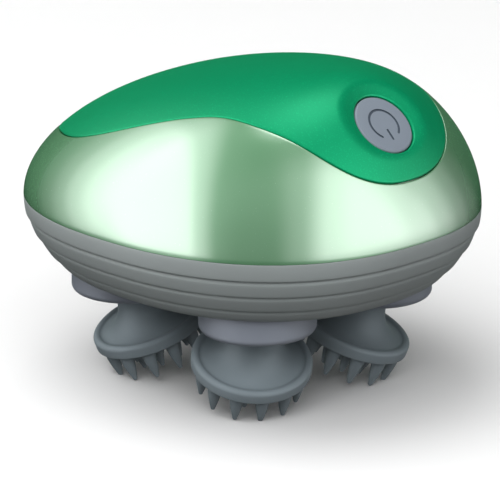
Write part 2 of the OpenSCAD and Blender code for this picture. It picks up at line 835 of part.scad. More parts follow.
module shaft_bushes() {
    color("peru") for (i = [0 : 3]) turntable_frame(i) difference() {
        union() {
            rod(bush_r, boss_bottom + 1.6, pad_z - boss_bottom - 1.6);
            rod(bush_r + 1.4, pad_z, 0.6);
        }
        rod(shaft_r + running_fit, boss_bottom, 12);
    }
}

module shaft_seals() {
    color("black") for (i = [0 : 3]) turntable_frame(i) difference() {
        rod(bush_r, boss_bottom + 0.1, 1.3);
        rod(shaft_r + running_fit, boss_bottom - 1, 4);
    }
}

// Turntable: a cup over the base's boss, with the inclined pin that carries the claw
module turntable(i) {
    edge_r = 1.8;
    color("lightsteelblue") turntable_frame(i) difference() {
        union() {
            rotate_extrude($fn = 72) polygon(concat(
                [[0, turntable_clearance]],
                [for (a = [-90 : 18 : 0]) [turntable_r - edge_r + edge_r * cos(a),
                    turntable_clearance + edge_r + edge_r * sin(a)]],
                [[turntable_r, turntable_top], [turntable_r - turntable_wall, turntable_top],
                 [turntable_r - turntable_wall, turntable_clearance + turntable_plate],
                 [0, turntable_clearance + turntable_plate]]));
            rod(hub_r, turntable_clearance + 1, boss_bottom - 0.8 - turntable_clearance - 1);
            claw_frame() rod(pin_r, -pin_reach, pin_reach - 3.2);
        }
        rod(shaft_r + press_fit, shaft_bottom, 12);
    }
}

// Silicone claw: a trumpet with a thick rim and tapered bristles, cut where it meets the
// turntable and where it stands
module claw(i) {
    rim_r = claw_diameter / 2;
    rim_mid = underside_reach - rim_thickness + rim_round;
    neck_r = neck_diameter / 2;
    flare_r = rim_r - rim_round - rim_round * cos(30);
    flare_start = pivot_rise + 0.8;
    flare_end = rim_mid - rim_round * sin(30);
    color("slategray") turntable_frame(i) difference() {
        claw_frame() difference() {
            union() {
                rotate_extrude($fn = 72) polygon(concat(
                    [[0, -underside_reach]],
                    [for (a = [-90 : 30 : 0]) [rim_r - rim_foot + rim_foot * cos(a),
                        rim_foot - underside_reach + rim_foot * sin(a)]],
                    [for (a = [0 : 30 : 120])
                        [rim_r - rim_round + rim_round * cos(a), rim_round * sin(a) - rim_mid]],
                    [for (a = [90 : -15 : 0]) [flare_r - (flare_r - neck_r) * cos(a),
                        -flare_start - (flare_end - flare_start) * sin(a)]],
                    [[neck_r, -1], [0, -1]]));
                for (k = [0 : outer_bristles - 1]) rotate([0, 0, 180 + 360 * k / outer_bristles])
                    translate([outer_ring_r, 0, 0]) bristle();
                for (k = [0 : inner_bristles - 1]) rotate([0, 0, 360 * (k + 0.5) / inner_bristles])
                    translate([inner_ring_r, 0, 0]) bristle();
                bristle();
            }
            rod(core_r, -pin_reach - core_plate, pin_reach + 4);
            rod(core_plate_r, -pin_reach - core_plate, core_plate);
        }
        block(60, 60, turntable_clearance, 20);
        block(60, 60, -10, 10);
    }
}

// One bristle, from its root inside the claw down to its rounded tip
module bristle() {
    tip = bristle_tip / 2;
    sunk = 0.6;
    root = bristle_root / 2 + sunk * (bristle_root / 2 - tip) / bristle_length;
    rotate_extrude() polygon(concat(
        [[0, sunk - underside_reach], [0, -tip_reach]],
        [for (a = [-60 : 30 : 0]) [tip * cos(a), tip - tip_reach + tip * sin(a)]],
        [[root, sunk - underside_reach]]));
}

// Hard core inside the claw, pressed on the turntable's pin
module claw_core(i) {
    color("silver") turntable_frame(i) difference() {
        claw_frame() difference() {
            union() {
                rod(core_r - press_fit, -pin_reach - core_plate + press_fit, pin_reach + 2);
                rod(core_plate_r - press_fit, -pin_reach - core_plate + press_fit,
                    core_plate - 2 * press_fit);
            }
            rod(pin_r + press_fit, -pin_reach - press_fit, pin_reach + 6);
        }
        block(60, 60, turntable_clearance, 20);
    }
}

module output_shaft(i) {
    color("silver") turntable_frame(i) rod(shaft_r, shaft_bottom, output_gear_top + 0.9 - shaft_bottom);
}

// Gear pressed on an output shaft, turned into mesh with the sun gear
module output_gear(i) {
    spot = turntables[i];
    heading = atan2(spot[1] * claw_pitch_y, spot[0] * claw_pitch_x);
    color("ivory") translate([spot[0] * claw_pitch_x / 2, spot[1] * claw_pitch_y / 2]) difference() {
        rotate([0, 0, mesh_turn(sun_teeth, 0, heading, output_teeth)])
            gear(output_teeth, gear_module, output_gear_z, output_gear_width, 0.9);
        rod(shaft_r + press_fit, output_gear_z - 1, output_gear_width + 2);
        difference() {
            rod(output_teeth * gear_module / 2 - 3, output_gear_z + output_gear_width / 2, 10);
            rod(shaft_r + 3, output_gear_z, 20);
        }
    }
}

top_shell();
top_inlay();
base_shell();
seam_gasket();
power_button();
button_boot();
power_switch();
main_board();
board_screws();
gear_chassis();
chassis_screws();
case_screws();
motor_can();
motor_end_cap();
motor_screws();
motor_armature();
motor_pinion();
reduction_gear();
reduction_axle();
sun_wheel();
sun_axle();
battery_cell();
battery_strap();
charge_board();
charge_socket();
port_plug();
shaft_bushes();
shaft_seals();
turntable(0);  // turntable_nose_left
turntable(1);  // turntable_nose_right
turntable(2);  // turntable_tail_left
turntable(3);  // turntable_tail_right
claw(0);  // claw_nose_left
claw(1);  // claw_nose_right
claw(2);  // claw_tail_left
claw(3);  // claw_tail_right
claw_core(0);  // claw_core_nose_left
claw_core(1);  // claw_core_nose_right
claw_core(2);  // claw_core_tail_left
claw_core(3);  // claw_core_tail_right
output_shaft(0);  // output_shaft_nose_left
output_shaft(1);  // output_shaft_nose_right
output_shaft(2);  // output_shaft_tail_left
output_shaft(3);  // output_shaft_tail_right
output_gear(0);  // output_gear_nose_left
output_gear(1);  // output_gear_nose_right
output_gear(2);  // output_gear_tail_left
output_gear(3);  // output_gear_tail_right
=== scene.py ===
# Electric scalp massager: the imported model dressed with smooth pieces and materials.
# Lengths are in millimetres until a mesh is made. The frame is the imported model's frame.
import json
import math

import bmesh
import bpy
import numpy as np
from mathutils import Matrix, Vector, geometry


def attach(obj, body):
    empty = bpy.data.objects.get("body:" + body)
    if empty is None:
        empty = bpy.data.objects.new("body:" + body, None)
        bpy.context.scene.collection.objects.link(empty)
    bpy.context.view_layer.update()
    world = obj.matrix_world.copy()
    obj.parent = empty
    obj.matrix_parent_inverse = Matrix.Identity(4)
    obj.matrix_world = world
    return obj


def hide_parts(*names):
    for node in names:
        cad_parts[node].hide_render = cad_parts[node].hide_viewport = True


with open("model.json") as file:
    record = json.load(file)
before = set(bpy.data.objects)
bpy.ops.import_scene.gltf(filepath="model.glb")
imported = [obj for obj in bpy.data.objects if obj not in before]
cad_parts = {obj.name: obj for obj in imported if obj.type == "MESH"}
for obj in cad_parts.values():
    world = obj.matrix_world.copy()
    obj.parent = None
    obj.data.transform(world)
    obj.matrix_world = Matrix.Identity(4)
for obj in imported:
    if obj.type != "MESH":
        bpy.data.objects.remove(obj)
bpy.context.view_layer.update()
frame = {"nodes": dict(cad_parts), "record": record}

MM = 0.001
SHARP = 38

# ---- Sizes, as in the CAD source ----

HALF_X, HALF_Y, SEAM_POWER = 62.0, 56.0, 2.33
SEAM_Z, BOTTOM_Z, FLOOR_Z, PAD_Z = 51.5, 32.3, 34.7, 36.0
DOME_H, DOME_POWER, LEAN = 41.3, 0.54, 32.8
BOWL_H, TAPER, TAPER_POWER = 19.2, 0.148, 2.1
BANDS, BAND_SHARE, STEP = 4, 0.26, 0.5
SHELL_WALL, BASE_WALL = 2.4, 3.4
INLAY_REACH, INLAY_WAIST = 0.9, 0.305
WAIST_WAVES = [0.384, 0.262, -0.403, -0.264, 0.018, 0.018, -0.03, -0.015, 0.025]
INLAY_T, INLAY_GAP, LEDGE_D, LEDGE_T, LEDGE_REACH = 1.6, 0.15, 1.75, 1.2, 0.05
DISH_PLACE, DISH_DEPTH, DISH_R, TILT = 50.9, 3.0, 60.0, math.radians(44)
BUTTON_R, BUTTON_FACE, BUTTON_ROUND = 8.7, 0.6, 0.6
WELL_R, PAD_R, PAD_LOW = 8.95, 12.7, -2.4
SIGN_R, SIGN_HALF, SIGN_CUT, SIGN_GAP = 4.5, 0.34, 0.3, math.radians(42)
BAR_FROM, BAR_TO = 1.5, 5.0
FLANGE_R, FLANGE_LOW, FLANGE_TOP, STEM_R, STEM_LOW = 10.1, -3.4, -2.45, 1.7, -3.9
CLEAR_Z, PIVOT_Z, TURN_R, TURN_TOP, BOSS_Z = 24.7, 29.9, 15.7, 33.2, 31.0
TURN_WELL_R, TURN_PAD_R, TURN_SINK = TURN_R + 0.4, TURN_R + 1.6, 1.5
BOSS_R, BUSH_R = 7.0, 4.62
HUB_R, HUB_TOP, PIN_R, PIN_LOW = 6.5, 30.2, 3.02, 26.3
CLAW_TILT, CLAW_R, NECK_R, RIM_T = math.radians(21), 16.3, 6.2, 3.6
RIM_ROUND, RIM_FOOT = 1.2, 0.4
TIP_CUT, BRISTLE_L, ROOT_R, TIP_R = 0.36, 8.5, 1.95, 0.65
OUTER_COUNT, INNER_COUNT = 12, 8
OUTER_RING = CLAW_R - 3.1
INNER_RING = OUTER_RING * 0.55
TIP_REACH = (PIVOT_Z + TIP_CUT - OUTER_RING * math.sin(CLAW_TILT)) / math.cos(CLAW_TILT)
UNDER = TIP_REACH - BRISTLE_L
# Each corner's sides of the middle, and how its claw is turned, in degrees
CORNERS = {
    "nose_left": (1, 1, -15), "nose_right": (1, -1, 12),
    "tail_left": (-1, 1, 40), "tail_right": (-1, -1, 27),
}
PITCH_X, PITCH_Y = 50.0, 44.6
CASE_SPOTS = [(46.0, 0.0), (-46.0, 0.0), (-12.0, 42.0), (-12.0, -42.0)]
CASE_HEAD_R, CASE_HOLE_R, CASE_POST_R, CASE_SINK = 2.8, 1.35, 3.4, 4.0
CHASSIS_SPOTS = [(34.0, 0.0), (-34.0, 0.0), (12.0, 42.0), (12.0, -42.0)]
CHASSIS_POST_R, CHASSIS_HOLE_R, CHASSIS_TOP, CHASSIS_LOW = 3.2, 1.07, 52.5, 44.5
PORT_X, PORT_Z, COVER_W, COVER_H = -59.4, 44.4, 14.4, 6.8
INLET_HALF, INLET_R = 2.9, 1.8


# ---- Surfaces ----

def spow(v, e):
    """Power that keeps the sign."""
    return np.sign(v) * np.abs(v) ** e


def oval(a, b, n, t):
    """Point of a superellipse of power n."""
    return a * spow(np.cos(t), 2 / n), b * spow(np.sin(t), 2 / n)


def inlay_edge(t):
    """The dome's s where the inlay ends, around the crown."""
    waves = sum(wave * np.cos(k * t) for k, wave in enumerate(WAIST_WAVES))
    return INLAY_REACH - INLAY_WAIST * waves


def dome(s, t, d=0.0):
    """Point of the dome: s is 0 at the crown and 1 at the seam, d is the depth inside it."""
    n = 2 + (SEAM_POWER - 2) * s * s
    x, y = oval((HALF_X - d) * s, (HALF_Y - d) * s, n, t)
    z = SEAM_Z + (DOME_H - d) * np.maximum(1 - s * s, 0) ** DOME_POWER
    return np.stack(np.broadcast_arrays(LEAN * (1 - s) + x, y, z), -1)


def dome_share(x, y):
    """The dome's s above a point of the ground plan."""
    lo, hi = np.full(np.shape(x), 1e-6), np.ones(np.shape(x))
    for _ in range(44):
        s = (lo + hi) / 2
        n = 2 + (SEAM_POWER - 2) * s * s
        f = np.abs((x - LEAN * (1 - s)) / (HALF_X * s)) ** n + np.abs(y / (HALF_Y * s)) ** n
        lo, hi = np.where(f > 1, s, lo), np.where(f > 1, hi, s)
    return (lo + hi) / 2


def dome_turn(x, y, s):
    """The dome's t above a point of the ground plan."""
    n = 2 + (SEAM_POWER - 2) * s * s
    u = spow((x - LEAN * (1 - s)) / (HALF_X * s), n / 2)
    v = spow(y / (HALF_Y * s), n / 2)
    return np.arctan2(v, u)


def bowl(h, d, t):
    """Point of the base bowl, h below the seam and d inside its widest outline."""
    share = 1 - TAPER * (h / BOWL_H) ** TAPER_POWER
    x, y = oval(HALF_X * share - d, HALF_Y * share - d, SEAM_POWER, t)
    return np.stack(np.broadcast_arrays(x, y, SEAM_Z - h), -1)


def turns(count):
    return np.arange(count) * 2 * np.pi / count


# Button frame: origin at the bottom of the thumb dish, z along the button's axis
dish_s = (DISH_PLACE - LEAN) / (HALF_X - LEAN)
dish_top = dome(np.array(dish_s), np.array(0.0))
BUTTON_O = np.array([dish_top[0] - DISH_DEPTH * math.sin(TILT), 0.0,
                     dish_top[2] - DISH_DEPTH * math.cos(TILT)])
BUTTON_M = np.array([[math.cos(TILT), 0, math.sin(TILT)], [0, 1, 0],
                     [-math.sin(TILT), 0, math.cos(TILT)]])


def from_button(p):
    """Moves points from the button's frame to the object's."""
    return np.asarray(p) @ BUTTON_M.T + BUTTON_O


def dish_z(r):
    """Height of the thumb dish in the button's frame."""
    return DISH_R - np.sqrt(DISH_R ** 2 - r ** 2)


def dome_over_button(x, y):
    """Height of the dome along the button's axis, over a point of the button's plane."""
    lo, hi = np.full(np.shape(x), -16.0), np.full(np.shape(x), 9.0)
    for _ in range(40):
        z = (lo + hi) / 2
        p = from_button(np.stack([x, y, z], -1))
        s = dome_share(p[..., 0], p[..., 1])
        top = SEAM_Z + DOME_H * np.maximum(1 - s * s, 0) ** DOME_POWER
        inside = p[..., 2] < top
        lo, hi = np.where(inside, z, lo), np.where(inside, hi, z)
    return (lo + hi) / 2


# ---- Mesh tools ----

def loft(rings, loop=False):
    """Vertices and quads of a stack of rings."""
    rings = np.asarray(rings)
    rows, cols = rings.shape[:2]
    faces = []
    for i in range(rows if loop else rows - 1):
        k = (i + 1) % rows
        for j in range(cols):
            m = (j + 1) % cols
            faces.append((i * cols + j, i * cols + m, k * cols + m, k * cols + j))
    return rings.reshape(-1, 3), faces


def lathe(profile, count):
    """Revolves (radius, z) pairs. An end on the axis is closed by a fan."""
    t = turns(count)
    verts, faces, last = [], [], None
    for r, z in profile:
        if r < 1e-9:
            ring = [len(verts)]
            verts.append((0.0, 0.0, z))
        else:
            ring = list(range(len(verts), len(verts) + count))
            verts.extend(zip(r * np.cos(t), r * np.sin(t), np.full(count, z)))
        if last is not None:
            for j in range(count):
                m = (j + 1) % count
                if len(last) == 1:
                    faces.append((last[0], ring[j], ring[m]))
                elif len(ring) == 1:
                    faces.append((last[j], last[m], ring[0]))
                else:
                    faces.append((last[j], last[m], ring[m], ring[j]))
        last = ring
    return np.array(verts), faces


def joined(parts):
    """Puts parts together, and tags each face with its part's number."""
    verts, faces, tags, base = [], [], [], 0
    for k, (v, f) in enumerate(parts):
        verts.append(np.asarray(v))
        faces.extend(tuple(i + base for i in face) for face in f)
        tags.extend([k] * len(f))
        base += len(v)
    return np.concatenate(verts), faces, tags


def in_loop(p, loop):
    """Which points lie in a closed outline."""
    x, y = p[:, 0][:, None], p[:, 1][:, None]
    a, b = loop, np.roll(loop, -1, 0)
    crosses = (a[:, 1] > y) != (b[:, 1] > y)
    rise = np.where(b[:, 1] == a[:, 1], 1e-12, b[:, 1] - a[:, 1])
    at = (b[:, 0] - a[:, 0]) * (y - a[:, 1]) / rise + a[:, 0]
    return (crosses & (x < at)).sum(1) % 2 == 1


def flat(outer, holes, z):
    """Flat face with holes, as triangles."""
    loops = [np.asarray(l, float)[:, :2] for l in [outer, *holes]]
    points, edges = [], []
    for loop in loops:
        n, base = len(loop), len(points)
        points.extend(Vector(p) for p in loop)
        edges.extend((base + i, base + (i + 1) % n) for i in range(n))
    v, _, f, *_ = geometry.delaunay_2d_cdt(points, edges, [], 0, 1e-7)
    v = np.array([tuple(p) for p in v])
    mid = np.array([v[list(face)].mean(0) for face in f])
    keep = in_loop(mid, loops[0])
    for hole in loops[1:]:
        keep &= ~in_loop(mid, hole)
    verts = np.column_stack([v, np.full(len(v), z)])
    return verts, [tuple(face) for face, k in zip(f, keep) if k]


def tube(loop, z0, z1):
    """Wall between two heights over one outline."""
    low = np.column_stack([loop, np.full(len(loop), z0)])
    high = np.column_stack([loop, np.full(len(loop), z1)])
    return loft([low, high])


def ring_face(outer, inner, z):
    """Flat ring between two outlines of as many points."""
    a = np.column_stack([outer, np.full(len(outer), z)])
    b = np.column_stack([inner, np.full(len(inner), z)])
    return loft([a, b])


def circle(r, count, x=0.0, y=0.0):
    t = turns(count)
    return np.column_stack([x + r * np.cos(t), y + r * np.sin(t)])


def piece(name, verts, faces, body, nodes, mats, tags=None, sharp=SHARP):
    """Makes a clean mesh object that rides on a body and stands for CAD nodes."""
    mesh = bpy.data.meshes.new(name)
    mesh.from_pydata((np.asarray(verts) * MM).tolist(), [], faces)
    for m in mats:
        mesh.materials.append(m)
    if tags is not None:
        mesh.polygons.foreach_set("material_index", tags)
    bm = bmesh.new()
    bm.from_mesh(mesh)
    bmesh.ops.remove_doubles(bm, verts=bm.verts, dist=1e-6)
    bmesh.ops.dissolve_degenerate(bm, edges=bm.edges, dist=1e-7)
    bmesh.ops.recalc_face_normals(bm, faces=bm.faces)
    bm.to_mesh(mesh)
    bm.free()
    mesh.polygons.foreach_set("use_smooth", [True] * len(mesh.polygons))
    mesh.set_sharp_from_angle(angle=math.radians(sharp))
    obj = bpy.data.objects.new(name, mesh)
    bpy.context.scene.collection.objects.link(obj)
    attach(obj, body)
    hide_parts(*nodes)
    return obj


# ---- Materials ----

def linear(rgb):
    """sRGB from 0 to 255 as linear light."""
    c = [v / 255 for v in rgb]
    return [v / 12.92 if v <= 0.04045 else ((v + 0.055) / 1.055) ** 2.4 for v in c]


# Painted glints: the paint's flakes are real, but their brightness is painted light. Where the
# glints start and are full in the fine grain, and how bright they are
GLINT_FROM, GLINT_FULL, GLINT_GAIN, GLINT_LIFT = 0.56, 0.72, 2.2, 0.012


def material(name, rgb, rough, vary=0.06, grain=900.0, bump=0.02, reach=0.02, metallic=0.0,
             coat=0.0, coat_rough=0.1, coat_ior=1.5, broad=30.0, rough_vary=0.05, spec=0.5,
             spec_tint=(1, 1, 1), painted_glints=0.0):
    """Moulded or coated surface: broad tone changes, fine grain and a slight relief."""
    m = bpy.data.materials.new(name)
    m.use_nodes = True
    n, link = m.node_tree.nodes, m.node_tree.links.new
    shader = n["Principled BSDF"]
    shader.inputs["Metallic"].default_value = metallic
    shader.inputs["Coat Weight"].default_value = coat
    shader.inputs["Coat Roughness"].default_value = coat_rough
    shader.inputs["Coat IOR"].default_value = coat_ior
    shader.inputs["Specular IOR Level"].default_value = spec
    shader.inputs["Specular Tint"].default_value = (*spec_tint, 1)
    place = n.new("ShaderNodeTexCoord")
    soft = n.new("ShaderNodeTexNoise")
    soft.inputs["Scale"].default_value = broad
    soft.inputs["Detail"].default_value = 3
    fine = n.new("ShaderNodeTexNoise")
    fine.inputs["Scale"].default_value = grain
    fine.inputs["Detail"].default_value = 2
    for tex in (soft, fine):
        link(place.outputs["Object"], tex.inputs["Vector"])
    base = linear(rgb)
    tone = n.new("ShaderNodeValToRGB")
    tone.color_ramp.elements[0].position = 0.3
    tone.color_ramp.elements[0].color = [c * (1 - vary) for c in base] + [1]
    tone.color_ramp.elements[1].position = 0.7
    tone.color_ramp.elements[1].color = [min(1, c * (1 + vary)) for c in base] + [1]
    link(soft.outputs["Fac"], tone.inputs["Fac"])
    colour = tone.outputs["Color"]
    # Painted glints: bright specks in the base colour stand for light caught by the paint's
    # flakes
    if painted_glints:
        spots = n.new("ShaderNodeValToRGB")
        spots.color_ramp.elements[0].position = GLINT_FROM
        spots.color_ramp.elements[0].color = (0, 0, 0, 1)
        spots.color_ramp.elements[1].position = GLINT_FULL
        spots.color_ramp.elements[1].color = (painted_glints, painted_glints, painted_glints, 1)
        link(fine.outputs["Fac"], spots.inputs["Fac"])
        mix = n.new("ShaderNodeMix")
        mix.data_type = "RGBA"
        mix.inputs[7].default_value = [min(1, c * GLINT_GAIN + GLINT_LIFT) for c in base] + [1]
        link(spots.outputs["Color"], mix.inputs[0])
        link(colour, mix.inputs[6])
        colour = mix.outputs[2]
    link(colour, shader.inputs["Base Color"])
    spread = n.new("ShaderNodeMapRange")
    spread.inputs["To Min"].default_value = max(0.02, rough - rough_vary)
    spread.inputs["To Max"].default_value = rough + rough_vary
    link(fine.outputs["Fac"], spread.inputs["Value"])
    link(spread.outputs["Result"], shader.inputs["Roughness"])
    relief = n.new("ShaderNodeBump")
    relief.inputs["Strength"].default_value = bump
    relief.inputs["Distance"].default_value = reach * MM
    link(fine.outputs["Fac"], relief.inputs["Height"])
    link(relief.outputs["Normal"], shader.inputs["Normal"])
    return m


green_metal = material("green_metal", (96, 146, 107), 0.26, vary=0.015, grain=2600, bump=0.04,
                       metallic=0.18, coat=1.0, coat_rough=0.12, coat_ior=1.85,
                       rough_vary=0.03)
# The inlay's paint flakes carry painted glints in its base colour
inlay_green = material("inlay_green", (0, 134, 88), 0.42, vary=0.05, grain=2400, bump=0.25,
                       reach=0.04, broad=14, metallic=0.25, rough_vary=0.08, spec=0.4,
                       spec_tint=(0.3, 1, 0.65), painted_glints=0.25)
base_grey = material("base_grey", (148, 155, 155), 0.55, spec=0.3, vary=0.05, grain=1300,
                     bump=0.3, reach=0.03)
turn_grey = material("turn_grey", (136, 142, 153), 0.45, spec=0.3, vary=0.04, grain=1300,
                     bump=0.2, reach=0.02)
claw_grey = material("claw_grey", (124, 135, 141), 0.55, spec=0.25, vary=0.06, grain=1100,
                     bump=0.2, reach=0.03, broad=60, rough_vary=0.07)
button_grey = material("button_grey", (122, 131, 142), 0.5, spec=0.3, vary=0.03, grain=1600,
                       bump=0.3, reach=0.03)
icon_grey = material("icon_grey", (74, 83, 94), 0.6, spec=0.2, vary=0.04, grain=1600, bump=0.2)
plug_grey = material("plug_grey", (88, 93, 92), 0.55, vary=0.05, grain=1200, bump=0.3)
seal_black = material("seal_black", (24, 24, 25), 0.6, vary=0.1, grain=1000, bump=0.2)
dark_plastic = material("dark_plastic", (34, 35, 37), 0.45, vary=0.08, grain=1200, bump=0.2)
white_plastic = material("white_plastic", (222, 222, 216), 0.4, vary=0.03, grain=900, bump=0.15)
gear_nylon = material("gear_nylon", (226, 220, 200), 0.38, vary=0.04, grain=800, bump=0.15)
board_green = material("board_green", (22, 92, 50), 0.3, vary=0.12, grain=700, bump=0.1,
                       coat=0.4)
steel = material("steel", (186, 188, 190), 0.28, vary=0.05, grain=1500, bump=0.1, metallic=1.0)
motor_steel = material("motor_steel", (168, 170, 172), 0.34, vary=0.06, grain=1200, bump=0.1,
                       metallic=1.0)
copper = material("copper", (196, 120, 74), 0.3, vary=0.15, grain=2500, bump=0.4, metallic=1.0)
brass = material("brass", (206, 172, 100), 0.28, vary=0.05, grain=1500, bump=0.1, metallic=1.0)
bronze = material("bronze", (176, 150, 104), 0.4, vary=0.08, grain=1800, bump=0.3, metallic=1.0)
cell_blue = material("cell_blue", (40, 78, 160), 0.3, vary=0.05, grain=600, bump=0.1, coat=0.5)

by_slot = {
    "shell_green": green_metal, "inlay_green": inlay_green, "base_grey": base_grey,
    "button_grey": button_grey, "turntable_grey": turn_grey, "claw_silicone": claw_grey,
    "plug_grey": plug_grey, "seal_black": seal_black, "dark_plastic": dark_plastic,
    "white_plastic": white_plastic, "gear_nylon": gear_nylon, "board_green": board_green,
    "steel": steel, "motor_steel": motor_steel, "copper": copper, "brass_gear": brass,
    "bush_brass": bronze, "cell_blue": cell_blue,
}
for row in frame["record"]["subparts"]:
    mesh = frame["nodes"][row["node"]].data
    mesh.materials.clear()
    mesh.materials.append(by_slot[row["material_slot"]])

# ---- Camera ----

CAMERA_REACH, BODY_MID = 1.1, 0.0486
AIM_DROP, AIM_SIDE = 0.01185, 0.0004
SENSOR, LENS = 36.0, 292.2
to_right = Vector((0.7009, 0.7133, 0.0))
to_top = Vector((-0.2145, 0.2108, 0.9537))
to_camera = Vector((0.6803, -0.6685, 0.3007)).normalized()
aim = Vector((0, 0, BODY_MID)) - to_top * AIM_DROP - to_right * AIM_SIDE
camera_data = bpy.data.cameras.new("camera")
camera_data.sensor_width = SENSOR
camera_data.lens = LENS
camera_data.clip_end = 50
camera = bpy.data.objects.new("camera", camera_data)
camera.location = aim + to_camera * CAMERA_REACH
camera.rotation_mode = "QUATERNION"
camera.rotation_quaternion = to_camera.to_track_quat("Z", "Y")
bpy.context.scene.collection.objects.link(camera)
bpy.context.scene.camera = camera
bpy.context.scene.view_settings.view_transform = "Standard"

# ---- Floor and light ----

FLOOR_HALF = 9
PANEL_LEVEL, ROOM_LEVEL = 5.6, 0.74
TOP_POWER, FRONT_POWER = 18.0, 15.0
LIGHT_AIM = Vector((0, 0, 0.05))

floor_mesh = bpy.data.meshes.new("floor")
floor_mesh.from_pydata([(x * FLOOR_HALF, y * FLOOR_HALF, 0)
                        for x, y in ((-1, -1), (1, -1), (1, 1), (-1, 1))], [], [(0, 1, 2, 3)])
floor = bpy.data.objects.new("floor", floor_mesh)
bpy.context.scene.collection.objects.link(floor)
floor_mesh.materials.append(material("floor_white", (243, 243, 243), 0.7, vary=0.004,
                                     grain=60, bump=0.0, broad=2))
floor.visible_glossy = False
floor.visible_diffuse = False

world = bpy.data.worlds.new("studio")
bpy.context.scene.world = world
world.use_nodes = True
wn, wlink = world.node_tree.nodes, world.node_tree.links.new
way = wn.new("ShaderNodeTexCoord")


def along(direction, reach, stops, name, tint=(1, 1, 1)):
    """Level over the sky, by how far a direction points along another."""
    dot = wn.new("ShaderNodeVectorMath")
    dot.operation = "DOT_PRODUCT"
    dot.inputs[1].default_value = direction
    wlink(way.outputs["Generated"], dot.inputs[0])
    share = wn.new("ShaderNodeMapRange")
    share.inputs["From Min"].default_value = -reach
    share.inputs["From Max"].default_value = reach
    wlink(dot.outputs["Value"], share.inputs["Value"])
    ramp = wn.new("ShaderNodeValToRGB")
    ramp.name = name
    ramp.color_ramp.interpolation = "EASE"
    marks = ramp.color_ramp.elements
    while len(marks) < len(stops):
        marks.new(0.5)
    for mark, (at, level) in zip(marks, stops):
        mark.position = (at / reach + 1) / 2
        mark.color = (level * tint[0], level * tint[1], level * tint[2], 1)
    wlink(share.outputs["Result"], ramp.inputs["Fac"])
    return ramp.outputs["Color"]


def blend(mode, one, other):
    """Two levels multiplied or added."""
    mix = wn.new("ShaderNodeMix")
    mix.data_type = "RGBA"
    mix.blend_type = mode
    mix.inputs[0].default_value = 1.0
    wlink(one, mix.inputs[6])
    wlink(other, mix.inputs[7])
    return mix.outputs[2]


# Long soft panels left and right of the object and a lamp above it, which only
# reflections see
front = Vector((to_camera.x, to_camera.y, 0)).normalized()
up = Vector((0, 0, 1))
left = along(to_right * -0.969 - front * 0.237 - up * 0.073, 1.0,
             [(-1.0, 0.0), (0.1, 0.01), (0.35, 0.05), (0.51, 0.5), (0.6, 1.0)], "left")
left_end = along(-front - up * 0.45, 1.1,
                 [(-0.1, 1.0), (0.0, 0.8), (0.2, 0.42), (0.35, 0.17), (0.55, 0.05), (0.75, 0.0)],
                 "left_end")
right = along(to_right * 0.954 - front * 0.296 + up * 0.05, 1.0,
              [(-1.0, 0.06), (-0.3, 0.06), (0.0, 0.25), (0.36, 0.86), (0.6, 1.0)], "right")
right_end = along(up * 0.6 - front, 1.2,
                  [(-0.25, 1.0), (-0.05, 0.72), (0.1, 0.42), (0.37, 0.14), (0.55, 0.04),
                   (0.75, 0.0)], "right_end")
above = along(to_right * 0.06 - front * 0.1 + up, 1.02, [(0.92, 0.0), (1.0, 1.0)], "above")
edge_glow = along(-front, 1.0, [(0.5, 0.0), (0.75, 0.02), (1.0, 0.025)], "edge_glow",
                  (0.35, 1.0, 0.5))
panels = blend("ADD", blend("MULTIPLY", left, left_end), blend("MULTIPLY", right, right_end))
panels = blend("ADD", blend("ADD", panels, above), edge_glow)
# The panels fade a little below the horizon
horizon = along(up, 1.0, [(-0.36, 0.15), (-0.16, 1.0)], "horizon")
panels = blend("MULTIPLY", panels, horizon)
mirror = wn.new("ShaderNodeBackground")
mirror.inputs["Strength"].default_value = PANEL_LEVEL
wlink(panels, mirror.inputs["Color"])
# Even light of the room, a little stronger from the front left
key = (front * 0.7 - to_right * 0.12 + up * 0.5).normalized()
room = along(key, 1.0, [(-1.0, 0.1), (0.0, 0.5), (1.0, 1.0)], "room")
ground = along(up, 1.0, [(-1.0, 0.08), (-0.25, 0.15), (0.0, 0.8), (0.15, 1.0)], "ground")
soft_sky = wn["Background"]
soft_sky.inputs["Strength"].default_value = ROOM_LEVEL
wlink(blend("MULTIPLY", room, ground), soft_sky.inputs["Color"])
path = wn.new("ShaderNodeLightPath")
either = wn.new("ShaderNodeMixShader")
wlink(path.outputs["Is Glossy Ray"], either.inputs["Fac"])
wlink(soft_sky.outputs["Background"], either.inputs[1])
wlink(mirror.outputs["Background"], either.inputs[2])
wlink(either.outputs["Shader"], wn["World Output"].inputs["Surface"])


def softbox(name, turn, height, reach, width, tall, power):
    """Area light, turned to the right of the camera's direction and aimed at the body."""
    data = bpy.data.lights.new(name, "AREA")
    data.shape = "RECTANGLE"
    data.size, data.size_y = width, tall
    data.energy = power
    a = math.radians(turn)
    side = Vector((to_right.x, to_right.y, 0)).normalized()
    spot = front * (math.cos(a) * reach) + side * (math.sin(a) * reach) + Vector((0, 0, height))
    lamp = bpy.data.objects.new(name, data)
    lamp.location = spot
    lamp.rotation_mode = "QUATERNION"
    lamp.rotation_quaternion = (spot - LIGHT_AIM).to_track_quat("Z", "Y")
    lamp.visible_glossy = False
    bpy.context.scene.collection.objects.link(lamp)


softbox("top_box", turn=-85, height=1.7, reach=0.55, width=1.5, tall=1.5, power=TOP_POWER)
softbox("front_box", turn=-10, height=1.1, reach=1.3, width=1.4, tall=1.0, power=FRONT_POWER)

# ---- Metallic shell ----

